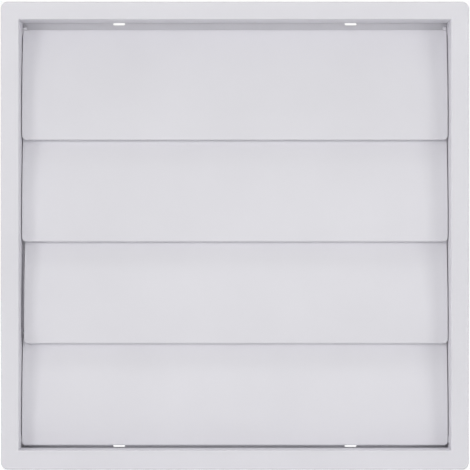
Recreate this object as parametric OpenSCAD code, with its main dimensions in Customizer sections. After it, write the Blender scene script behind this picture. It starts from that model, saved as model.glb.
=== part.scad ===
// Self-closing ventilation grille for an outside wall: a moulded square frame
// with four top-hung, curved flaps that overlap downwards and shut by their own weight.
// Millimetres. X runs across the grille, Y from front to wall, Z up.
// The origin is the middle of the back face, in the plane of the wall.

/* [Frame] */
// Outer width and height of the square frame
frame_w = 250; // [200:1:400]
// Depth of the frame from its front face to the wall
frame_d = 25; // [22:0.5:40]
// Width of the flat flange seen from the front
flange_w = 9.6; // [9:0.1:20]
// How much wider the flange is below the opening than on the other sides
flange_low_more = 0.8; // [0:0.1:2]
// Thickness of the flange
front_t = 2.4; // [1.6:0.1:4]
// Thickness of the skirt round the outside
skirt_t = 2; // [1.2:0.1:2.6]
// Thickness of the walls round the opening
wall_t = 2; // [1.4:0.1:2.6]
// Radius of the four outer corners
corner_r = 3.8; // [3.2:0.1:8]
// Rounding of the outer edge of the flange
rim_r = 1; // [0.5:0.1:3.1]
// Rounding where the flange turns into the opening
edge_r = 0.6; // [0.2:0.1:1.5]
// Thickness of the stiffening ribs between skirt and wall
brace_t = 1.2; // [0.8:0.1:2]
// How far these ribs stay back from the wall plane
brace_back = 1.5; // [0.5:0.1:6]

/* [Back lip] */
// Thickness of the lip that lies against the wall
lip_t = 2.5; // [1.5:0.1:4]
// Width of the lip beside the opening
lip_side_w = 6; // [4:0.5:12]
// Width of the lip above and below the opening
lip_end_w = 9; // [6:0.5:14]
// Radius of the lip's inner corners
lip_corner_r = 4; // [1:0.5:8]
// Radius of the four screw holes
screw_r = 2.25; // [1.5:0.05:3]
// Distance of a screw hole from the side wall
screw_in_x = 9.4; // [8:0.1:16]
// Distance of a screw hole from the top or bottom wall
screw_in_z = 13.4; // [11:0.1:20]
// Radius of the pad round a screw hole
screw_pad_r = 6; // [4:0.1:8]
// Length of a drain slot
drain_w = 6.6; // [4:0.1:12]
// Height of a drain slot, measured from the wall of the opening
drain_h = 1; // [0.8:0.1:3]
// How deep a drain slot bites into that wall
drain_bite = 0.45; // [0.1:0.05:0.8]
// Distance between the two drain slots of one side
drain_spacing = 126; // [60:1:160]
// How far in front of the lip a drain slot begins
drain_fwd = 3.5; // [1:0.5:8]

/* [Flaps] */
// Thickness of a flap
flap_t = 1.5; // [1:0.1:2]
// Gap between a flap's end and the side wall
side_gap = 0.5; // [0.5:0.05:1.5]
// How much shorter the third flap is at its left end
third_trim = 1.2; // [0:0.1:3]
// How far a flap hangs over the top of the next one
overlap = 5.8; // [4:0.1:8]
// Gap between a flap's lower lip and the flap or stop that it shuts against
seat_gap = 0.35; // [0.3:0.05:0.8]
// Gap between the last flap's lower edge and the bottom wall
bottom_gap = 1.4; // [1:0.1:4]
// Radius of a flap's curved face
face_r = 171; // [165:1:400]
// How far below the pivot this face stands upright, which is its foremost line
face_low = 50; // [46:0.5:52]
// How far that line stands in front of the pivot
face_fwd = 7.3; // [7.2:0.1:9]
// How far the top edge of the face lies below the pivot
face_drop = 0.9; // [0.9:0.1:2]
// Thickness of the lip along a flap's lower edge
flap_lip_t = 1.4; // [1:0.1:2.5]
// Rounding of a flap's lower edge
flap_edge_r = 0.8; // [0.2:0.05:0.9]
// Radius of a flap's lower corners
flap_corner_r = 2.3; // [1:0.1:6]
// Number of stiffening ribs on a flap's back, between its ends
flap_ribs = 5; // [1:1:9]
// Thickness of these ribs
flap_rib_t = 1; // [0.6:0.1:2]
// How far ribs and cheeks stay in front of the back of the lip
rib_back = 0.4; // [0.3:0.05:1]
// Thickness of the cheeks at a flap's two ends
cheek_t = 1.3; // [0.8:0.1:3]

/* [Pivots] */
// Radius of a pivot pin
pin_r = 0.8; // [0.6:0.05:0.85]
// Length of a pivot pin
pin_len = 4.5; // [4.5:0.1:12]
// Small cone at both ends of a pin
pin_lead = 0.25; // [0.1:0.05:0.4]
// How far a pin reaches into the side wall
pin_reach = 2; // [1.5:0.1:2.2]
// Space behind a pin in its bearing
pin_end_gap = 0.5; // [0.2:0.1:0.8]
// Running clearance between a pin and its bearing
pin_clear = 0.06; // [0.02:0.01:0.1]
// Clearance between a pin and the ear that holds it
pin_seat = 0.01; // [0.01:0.01:0.03]
// Wall of the ear round a pin
ear_wall = 0.5; // [0.4:0.05:0.8]
// Thickness of an ear along the pin
ear_t = 1.6; // [1.5:0.1:4]
// How far an ear is set back from the flap's end, which bares the pin
ear_set = 0.4; // [0.2:0.1:1]
// Gap between the ears and the back lip
ear_gap = 0.6; // [0.4:0.1:2]
// Distance of the top pivots from the top wall
pivot_drop = 2.9; // [2:0.1:6]
// Radius of a bearing boss on the side wall
boss_r = 3.8; // [2.5:0.1:3.9]
// How far a boss or a stop's rib stands out towards the flap's end
boss_h = 0.25; // [0.1:0.05:0.3]
// Length of a boss behind the side wall
boss_back = 2.2; // [2:0.1:3]

/* [Stops] */
// Height of a stop for the last flap, from that flap's lower edge up
stop_h = 5.1; // [3:0.1:8]
// Width of a stop behind the flap
stop_w = 4; // [2:0.1:8]
// Where the rib beside the flap's end starts, from the same edge up
stop_rib_up = 1.5; // [0:0.1:2.5]
// How far this rib stands in front of the flap's face
stop_rib_fwd = 0.6; // [0:0.1:3]

/* [Hidden] */
$fn = 64;
face_fn = 720;
flap_count = 4;
brace_count = 7;
cut = 1;
open_half = frame_w / 2 - flange_w;
open_low = open_half - flange_low_more;
front_y = -frame_d;
screw_x = open_half - screw_in_x;
screw_z = open_half - screw_in_z;
// pivots: depth comes from the lip behind them, pitch from the height that is left
ear_r = pin_r + ear_wall;
pivot_y = -lip_t - ear_gap - ear_r;
pitch = (open_half + open_low - pivot_drop - bottom_gap - overlap) / flap_count;
flap_len = pitch + overlap;
flap_half = open_half - side_gap;
function pivot_z(i) = open_half - pivot_drop - (i - 1) * pitch;
function left_end(i) = -flap_half + (i == 3 ? third_trim : 0);
// flap section, seen from its pivot: the face is an arc round a line far behind the flap
face_centre = [face_r - face_fwd, -face_low];
function arc_y(r, z) = face_centre.x - sqrt(pow(r, 2) - pow(z + face_low, 2));
lip_y = arc_y(face_r, -overlap) - seat_gap;
lip_top = -flap_len + flap_lip_t;
// centre of the round along the lower edge, tangent to the face and the underside
edge_z = -flap_len + flap_edge_r;
edge_y = arc_y(face_r - flap_edge_r, edge_z);
// pins and the ears that hold them
ear_x = flap_half - ear_set - ear_t;
pin_end = open_half + pin_reach;
pin_tip = pin_end - pin_len;
// stops: their front is where the last flap's lip shuts
stop_z = pivot_z(flap_count) - flap_len;
stop_y = pivot_y + lip_y + seat_gap;

// Extrudes an outline drawn in X and Z between two depths
module across(y0, y1) {
    translate([0, y1, 0]) rotate([90, 0, 0]) linear_extrude(y1 - y0) children();
}

// Extrudes a section drawn in Y and Z between two places along X
module along_x(x0, x1) {
    translate([x0, 0, 0]) rotate([90, 0, 90]) linear_extrude(x1 - x0) children();
}

module round_square(half, r) {
    square([2 * half, 2 * (half - r)], center = true);
    square([2 * (half - r), 2 * half], center = true);
    for (sx = [-1, 1], sz = [-1, 1])
        translate([sx * (half - r), sz * (half - r)]) circle(r);
}

module four_corners() {
    for (sx = [0, 1], sz = [0, 1])
        mirror([sx, 0, 0]) mirror([0, 0, sz]) children();
}

module both_sides() {
    for (sx = [0, 1]) mirror([sx, 0, 0]) children();
}

// Section across the whole frame, sideways against depth, with its rounded rim
module rim_section() {
    half = frame_w / 2;
    translate([-half, front_y + rim_r]) square([2 * half, frame_d - rim_r]);
    translate([-half + rim_r, front_y]) square([2 * (half - rim_r), rim_r]);
    for (s = [-1, 1])
        translate([s * (half - rim_r), front_y + rim_r]) circle(rim_r);
}

module rim_corner_section() {
    intersection() {
        union() {
            translate([0, front_y + rim_r]) square([corner_r, frame_d - rim_r]);
            translate([0, front_y]) square([corner_r - rim_r, frame_d]);
            translate([corner_r - rim_r, front_y + rim_r]) circle(rim_r);
        }
        translate([0, front_y]) square([corner_r, frame_d]);
    }
}

// Solid block of the frame: two crossing lengths and a turned piece in each corner
module rim_block() {
    reach = frame_w / 2 - corner_r;
    translate([0, 0, -reach]) linear_extrude(2 * reach) rim_section();
    along_x(-reach, reach) mirror([1, -1, 0]) rim_section();
    four_corners()
        translate([reach, 0, reach]) rotate([-90, 0, 0]) rotate_extrude() rim_corner_section();
}

// Section of the opening between two walls, flared at the front by the rounding of its edges
module opening_section(low, high) {
    translate([-low, front_y - cut]) square([low + high, frame_d + 2 * cut]);
    difference() {
        translate([-low - edge_r, front_y - cut]) square([low + high + 2 * edge_r, cut + edge_r]);
        for (side = [-low - edge_r, high + edge_r])
            translate([side, front_y + edge_r]) circle(edge_r);
    }
}

module opening_cut() {
    reach = open_half + 2 * edge_r;
    intersection() {
        translate([0, 0, -reach]) linear_extrude(2 * reach) opening_section(open_half, open_half);
        along_x(-reach, reach) mirror([1, -1, 0]) opening_section(open_low, open_half);
    }
}

// Hollow behind the flange, between the skirt and the walls of the opening
module channel_cut() {
    across(front_y + front_t, cut)
        difference() {
            round_square(frame_w / 2 - skirt_t, max(corner_r - skirt_t, 0.5));
            square(2 * (open_half + wall_t), center = true);
        }
}

// Thin ribs that tie the skirt to the walls of the opening
module braces() {
    inner = open_half + wall_t / 2;
    outer = frame_w / 2 - skirt_t / 2;
    step = 2 * open_half / (brace_count + 1);
    across(front_y + front_t / 2, -brace_back)
        for (k = [1 : brace_count], turn = [0 : 90 : 270])
            rotate(turn) translate([-open_half + k * step - brace_t / 2, inner])
                square([brace_t, outer - inner]);
}

// Inner outline of the lip, which grows a pad round each screw hole
module lip_window() {
    half_x = open_half - lip_side_w;
    half_z = open_half - lip_end_w;
    difference() {
        union() {
            square([2 * half_x, 2 * (half_z - lip_corner_r)], center = true);
            square([2 * (half_x - lip_corner_r), 2 * half_z], center = true);
            for (sx = [-1, 1], sz = [-1, 1])
                translate([sx * (half_x - lip_corner_r), sz * (half_z - lip_corner_r)])
                    circle(lip_corner_r);
        }
        for (sx = [0, 1], sz = [0, 1])
            mirror([sx, 0]) mirror([0, sz]) translate([screw_x, screw_z]) {
                circle(screw_pad_r);
                translate([0, -screw_pad_r]) square([screw_in_x, screw_in_z + screw_pad_r]);
                translate([-screw_pad_r, 0]) square([screw_in_x + screw_pad_r, screw_in_z]);
            }
    }
}

module back_lip() {
    across(-lip_t, 0)
        difference() {
            square(2 * (open_half + wall_t / 2), center = true);
            lip_window();
        }
}

module screw_holes() {
    four_corners()
        translate([screw_x, 0, screw_z]) rotate([90, 0, 0])
            cylinder(r = screw_r, h = 2 * (lip_t + cut), center = true);
}

// One drain slot in the lip, hard against a wall at this height
module drain_slot(wall_z) {
    end_r = (drain_h + drain_bite) / 2;
    across(-lip_t - drain_fwd, cut)
        translate([drain_spacing / 2, wall_z - drain_h + end_r]) {
            square([drain_w - 2 * end_r, 2 * end_r], center = true);
            for (s = [-1, 1]) translate([s * (drain_w / 2 - end_r), 0]) circle(end_r);
        }
}

module drain_slots() {
    both_sides() {
        drain_slot(open_half);
        mirror([0, 0, 1]) drain_slot(open_low);
    }
}

module pivot_circle(i, r) {
    translate([pivot_y, pivot_z(i)]) circle(r);
}

// Bearing bosses stand out on both faces of the side walls
module pivot_bosses() {
    both_sides()
        for (i = [1 : flap_count])
            along_x(open_half - boss_h, open_half + wall_t + boss_back)
                intersection() {
                    pivot_circle(i, boss_r);
                    translate([front_y, -open_half - wall_t]) square([frame_d, 2 * (open_half + wall_t)]);
                }
}

module pivot_bores() {
    both_sides()
        for (i = [1 : flap_count])
            along_x(open_half - boss_h - cut, pin_end + pin_end_gap)
                pivot_circle(i, pin_r + pin_clear);
}

// Stops for the last flap: a block behind its lip and a low rib beside its end
module flap_stops() {
    rib_y = pivot_y - face_fwd - stop_rib_fwd;
    both_sides() {
        along_x(open_half - stop_w, open_half + wall_t / 2)
            translate([stop_y, stop_z]) square([-lip_t / 2 - stop_y, stop_h]);
        along_x(open_half - boss_h, open_half + wall_t / 2)
            translate([rib_y, stop_z + stop_rib_up])
                square([-lip_t / 2 - rib_y, stop_h - stop_rib_up]);
    }
}

module frame() {
    color("gainsboro")
        difference() {
            union() {
                difference() {
                    rim_block();
                    channel_cut();
                    opening_cut();
                }
                braces();
                back_lip();
                pivot_bosses();
                flap_stops();
            }
            pivot_bores();
            screw_holes();
            drain_slots();
        }
}

module face_circle(inset) {
    translate(face_centre) circle(face_r - inset, $fn = face_fn);
}

// Curved plate of a flap with its rounded lower edge and the lip that turns back from it
module blade_section() {
    intersection() {
        difference() {
            face_circle(0);
            face_circle(flap_t);
        }
        translate([-face_fwd - flap_t, edge_z])
            square([2 * (face_fwd + flap_t), -face_drop - edge_z]);
    }
    translate([edge_y, edge_z]) circle(flap_edge_r);
    translate([edge_y, -flap_len]) square([lip_y - edge_y, flap_lip_t]);
}

// Ribs and cheeks fill the hollow back of a flap from its top edge down to its lip
module rib_section() {
    top_y = arc_y(face_r - flap_t, -face_drop);
    low_z = lip_top - flap_lip_t / 2;
    low_y = lip_y - rib_back;
    intersection() {
        face_circle(flap_t / 2);
        polygon([[-face_fwd, -face_drop - flap_t / 2], [top_y, -face_drop - flap_t / 2],
                 [low_y, low_z], [-face_fwd, low_z]]);
    }
}

// Front outline of a flap with its rounded lower corners
module flap_outline(left, right) {
    r = flap_corner_r;
    translate([left, -flap_len + r]) square([right - left, flap_len - r]);
    translate([left + r, -flap_len]) square([right - left - 2 * r, 2 * r]);
    for (x = [left + r, right - r]) translate([x, -flap_len + r]) circle(r);
}

// Ears stand up behind the ends of the curved plate and hold the pins
module ears() {
    both_sides()
        along_x(ear_x, ear_x + ear_t) {
            circle(ear_r);
            translate([0, -face_drop - flap_t]) square([ear_r, face_drop + flap_t]);
        }
}

module flap(i) {
    left = left_end(i);
    right = flap_half;
    rib_step = (right - left - cheek_t) / (flap_ribs + 1);
    color("whitesmoke")
        translate([0, pivot_y, pivot_z(i)])
            difference() {
                union() {
                    intersection() {
                        union() {
                            along_x(left, right) blade_section();
                            for (x = [left, right - cheek_t])
                                along_x(x, x + cheek_t) rib_section();
                        }
                        across(-frame_d, frame_d) flap_outline(left, right);
                    }
                    for (k = [1 : flap_ribs])
                        translate([left + cheek_t / 2 + k * rib_step, 0, 0])
                            along_x(-flap_rib_t / 2, flap_rib_t / 2) rib_section();
                    ears();
                }
                both_sides()
                    along_x(ear_x - cut, open_half) circle(pin_r + pin_seat);
            }
}

// Pivot pin with a small lead at each end
module pin(i, side) {
    thin = pin_r - pin_lead;
    color("silver")
        translate([0, pivot_y, pivot_z(i)]) rotate([0, 0, side == "left" ? 180 : 0])
            translate([pin_tip, 0, 0]) rotate([0, 90, 0])
                rotate_extrude()
                    polygon([[0, 0], [thin, 0], [pin_r, pin_lead], [pin_r, pin_len - pin_lead],
                             [thin, pin_len], [0, pin_len]]);
}

frame();
for (i = [1 : flap_count])
    flap(i);
for (i = [1 : flap_count], side = ["left", "right"])
    pin(i, side);
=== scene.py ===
import math

import bmesh
import bpy
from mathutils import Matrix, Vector


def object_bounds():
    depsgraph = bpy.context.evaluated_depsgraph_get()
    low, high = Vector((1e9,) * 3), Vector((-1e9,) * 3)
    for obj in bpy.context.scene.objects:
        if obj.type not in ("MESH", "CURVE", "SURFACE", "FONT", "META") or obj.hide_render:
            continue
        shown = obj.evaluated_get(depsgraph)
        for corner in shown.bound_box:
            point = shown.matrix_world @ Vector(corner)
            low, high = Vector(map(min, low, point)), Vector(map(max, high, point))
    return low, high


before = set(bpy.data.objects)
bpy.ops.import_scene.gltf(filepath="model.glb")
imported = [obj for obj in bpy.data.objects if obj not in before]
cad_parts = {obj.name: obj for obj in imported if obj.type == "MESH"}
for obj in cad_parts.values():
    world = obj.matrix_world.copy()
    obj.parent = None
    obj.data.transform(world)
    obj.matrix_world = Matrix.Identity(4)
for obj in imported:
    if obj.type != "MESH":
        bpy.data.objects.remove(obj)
cad_low, cad_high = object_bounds()

MM = 0.001
WHITE = (1, 1, 1, 1)
FLAPS = ("flap_1", "flap_2", "flap_3", "flap_4")
scene = bpy.context.scene


# Helpers for node trees

def linear(hex_code):
    """Linear RGBA of an sRGB colour written as six hex digits."""
    channels = [int(hex_code[i:i + 2], 16) / 255 for i in (0, 2, 4)]
    return tuple(c / 12.92 if c <= 0.04045 else ((c + 0.055) / 1.055) ** 2.4 for c in channels) + (1,)


def add(tree, kind, settings=None, values=None, links=None):
    """Adds a node, sets its settings and socket values, and links its inputs."""
    node = tree.nodes.new(kind)
    for name, value in (settings or {}).items():
        setattr(node, name, value)
    for socket, value in (values or {}).items():
        node.inputs[socket].default_value = value
    for socket, source in (links or {}).items():
        tree.links.new(source, node.inputs[socket])
    return node


def new_material(name):
    """A material with its node tree, its shader and its object coordinates."""
    material = bpy.data.materials.new(name)
    material.use_nodes = True
    tree = material.node_tree
    shader = tree.nodes["Principled BSDF"]
    place = add(tree, "ShaderNodeTexCoord").outputs["Object"]
    return material, tree, shader, place


def seen_ray(tree):
    """1 for the rays that show a surface to the eye, directly, mirrored or through glass, 0 for light."""
    ray = add(tree, "ShaderNodeLightPath")
    seen = add(tree, "ShaderNodeMath", {"operation": "MAXIMUM"},
               links={0: ray.outputs["Is Camera Ray"], 1: ray.outputs["Is Glossy Ray"]})
    seen = add(tree, "ShaderNodeMath", {"operation": "MAXIMUM"},
               links={0: seen.outputs["Value"], 1: ray.outputs["Is Transmission Ray"]})
    return seen.outputs["Value"]


# Materials of the grille

def moulded_asa(name, dark, light, flow_mm):
    """ASA plastic, injection moulded in a spark-eroded tool: an even pale grey skin, matt to satin.

    The tool's grain breaks up the reflections, and the melt's slow flow leaves the faintest clouds.
    """
    material, tree, shader, place = new_material(name)
    clouds = add(tree, "ShaderNodeTexNoise", values={"Scale": 1 / (flow_mm * MM), "Detail": 2.0},
                 links={"Vector": place})
    tint = add(tree, "ShaderNodeValToRGB", links={"Fac": clouds.outputs["Fac"]})
    tint.color_ramp.elements[0].position = 0.3
    tint.color_ramp.elements[0].color = linear(dark)
    tint.color_ramp.elements[1].position = 0.7
    tint.color_ramp.elements[1].color = linear(light)
    tree.links.new(tint.outputs["Color"], shader.inputs["Base Color"])
    # The real grain is about 0.1 mm wide; it is drawn coarser so that it shows at all
    grain_mm = 0.5
    grain_depth_mm = 0.04
    grain = add(tree, "ShaderNodeTexNoise", values={"Scale": 1 / (grain_mm * MM), "Detail": 3.0},
                links={"Vector": place})
    sheen = add(tree, "ShaderNodeMapRange", values={"To Min": 0.55, "To Max": 0.65},
                links={"Value": grain.outputs["Fac"]})
    tree.links.new(sheen.outputs["Result"], shader.inputs["Roughness"])
    skin = add(tree, "ShaderNodeBump", values={"Strength": 0.12, "Distance": grain_depth_mm * MM},
               links={"Height": grain.outputs["Fac"]})
    tree.links.new(skin.outputs["Normal"], shader.inputs["Normal"])
    shader.inputs["IOR"].default_value = 1.52
    return material


def drawn_steel(name):
    """Bright steel wire, drawn through a die: fine lines run along it and stretch its reflections."""
    material, tree, shader, place = new_material(name)
    # The drawing lines lie 0.08 mm apart round the wire, and this scale along it makes them about 6 mm long
    line_mm = 0.08
    scale_along = 0.013
    along = add(tree, "ShaderNodeMapping", values={"Scale": (scale_along, 1.0, 1.0)},
                links={"Vector": place})
    lines = add(tree, "ShaderNodeTexNoise", values={"Scale": 1 / (line_mm * MM), "Detail": 2.0},
                links={"Vector": along.outputs["Vector"]})
    tone = add(tree, "ShaderNodeValToRGB", links={"Fac": lines.outputs["Fac"]})
    tone.color_ramp.elements[0].color = linear("d8d9db")
    tone.color_ramp.elements[1].color = linear("f3f3f4")
    tree.links.new(tone.outputs["Color"], shader.inputs["Base Color"])
    polish = add(tree, "ShaderNodeMapRange", values={"To Min": 0.08, "To Max": 0.16},
                 links={"Value": lines.outputs["Fac"]})
    tree.links.new(polish.outputs["Result"], shader.inputs["Roughness"])
    shader.inputs["Metallic"].default_value = 1.0
    return material


def assign(node, material):
    """Puts one material on every slot of a node."""
    for slot in node.material_slots:
        slot.link = "OBJECT"
        slot.material = material


asa_frame = moulded_asa("asa_injection_moulded_frame", "dcdbe0", "dfdee3", 60)
asa_flap = moulded_asa("asa_injection_moulded_flap", "dedde2", "e1e0e5", 45)
steel_wire = drawn_steel("steel_drawn_wire")

for node_name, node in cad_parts.items():
    if node_name == "frame":
        assign(node, asa_frame)
    elif node_name in FLAPS:
        assign(node, asa_flap)
    else:
        assign(node, steel_wire)


# Camera: square on to the flange, from the distance that the walls of the opening show

camera_distance = 1160 * MM
picture_width = 470
pixel_size = 0.5336 * MM
shift_right_px = -0.15
shift_down_px = 0.65

camera_data = bpy.data.cameras.new("camera")
camera_data.sensor_width = 36.0
camera_data.lens = camera_data.sensor_width * camera_distance / (picture_width * pixel_size)
camera_data.shift_x = -shift_right_px / picture_width
camera_data.shift_y = shift_down_px / picture_width
camera = bpy.data.objects.new("camera", camera_data)
camera.location = (0, cad_low.y - camera_distance, 0)
camera.rotation_euler = (math.radians(90), 0, 0)
scene.collection.objects.link(camera)
scene.camera = camera


# Light: an evenly lit white room, with soft boxes around the camera

def soft_box(name, azimuth, elevation, distance, size, power):
    """A soft box that faces the grille from so many degrees to the right of and above its axis."""
    data = bpy.data.lights.new(name, "AREA")
    data.shape = "RECTANGLE"
    data.size, data.size_y = size
    data.energy = power
    box = bpy.data.objects.new(name, data)
    turn, rise = math.radians(azimuth), math.radians(elevation)
    towards = Vector((math.sin(turn) * math.cos(rise), -math.cos(turn) * math.cos(rise), math.sin(rise)))
    box.location = towards * distance
    box.rotation_euler = (-towards).to_track_quat("-Z", "Y").to_euler()
    scene.collection.objects.link(box)


# The two main boxes light the flaps and leave the soft shade along their ends
soft_box("left_box", azimuth=-30, elevation=4, distance=2.5, size=(0.7, 1.0), power=11.9)
soft_box("right_box", azimuth=37, elevation=4, distance=2.5, size=(0.9, 1.0), power=11.65)
# A wide strip a little above the camera helps to draw the thin lines under the flaps
soft_box("low_top_box", azimuth=0, elevation=12, distance=2.5, size=(1.0, 0.4), power=7.0)
# Strips overhead and far round on each side graze the flaps and brighten the walls of the opening
soft_box("over_box", azimuth=0, elevation=80, distance=2.0, size=(1.6, 0.4), power=7.4)
soft_box("far_left_box", azimuth=-80, elevation=4, distance=2.0, size=(0.4, 1.2), power=5.1)
soft_box("far_right_box", azimuth=80, elevation=4, distance=2.0, size=(0.4, 1.2), power=1.8)


def white_room(before, behind):
    """A room that looks white, and lights the grille by so much from before it and from behind it."""
    world = bpy.data.worlds.new("white_room")
    world.use_nodes = True
    tree = world.node_tree
    background = tree.nodes["Background"]
    towards = add(tree, "ShaderNodeTexCoord").outputs["Generated"]
    depth = add(tree, "ShaderNodeSeparateXYZ", links={"Vector": towards})
    # The two halves blend over a few degrees in the plane of the grille
    blend = {"From Min": -0.05, "From Max": 0.05, "To Min": before, "To Max": behind}
    lit = add(tree, "ShaderNodeMapRange", values=blend, links={"Value": depth.outputs["Y"]})
    strength = add(tree, "ShaderNodeMapRange", values={"To Max": 1.0},
                   links={"Value": seen_ray(tree), "To Min": lit.outputs["Result"]})
    tree.links.new(strength.outputs["Result"], background.inputs["Strength"])
    background.inputs["Color"].default_value = WHITE
    return world


scene.world = white_room(before=0.4, behind=0.5)
scene.view_settings.view_transform = "Standard"


# Floor: pale paper that the grille stands on

def studio_paper(name, dark, light, glow):
    """Studio paper, calendered and uncoated: a pale, dead matt surface with soft fibre clouds."""
    material, tree, shader, place = new_material(name)
    # Single fibres are too fine to show; these are the clouds that they lie in
    cloud_mm = 8
    fibres = add(tree, "ShaderNodeTexNoise", values={"Scale": 1 / (cloud_mm * MM), "Detail": 3.0},
                 links={"Vector": place})
    tone = add(tree, "ShaderNodeValToRGB", links={"Fac": fibres.outputs["Fac"]})
    tone.color_ramp.elements[0].color = linear(dark)
    tone.color_ramp.elements[1].color = linear(light)
    tree.links.new(tone.outputs["Color"], shader.inputs["Base Color"])
    shader.inputs["Roughness"].default_value = 0.9
    shader.inputs["Specular IOR Level"].default_value = 0.2
    # To the eye the paper runs out into the white room, but it keeps the grille's shadow
    shader.inputs["Emission Color"].default_value = WHITE
    lift = add(tree, "ShaderNodeMath", {"operation": "MULTIPLY"}, {1: glow}, {0: seen_ray(tree)})
    tree.links.new(lift.outputs["Value"], shader.inputs["Emission Strength"])
    return material


floor_half_width = 3.0
floor_shape = bmesh.new()
bmesh.ops.create_grid(floor_shape, x_segments=1, y_segments=1, size=floor_half_width)
bmesh.ops.translate(floor_shape, verts=floor_shape.verts, vec=(0, 0, cad_low.z))
floor_mesh = bpy.data.meshes.new("floor")
floor_shape.to_mesh(floor_mesh)
floor_shape.free()
floor_mesh.materials.append(studio_paper("paper_studio_roll", "f2f2f2", "f6f6f6", glow=0.55))
floor = bpy.data.objects.new("floor", floor_mesh)
scene.collection.objects.link(floor)
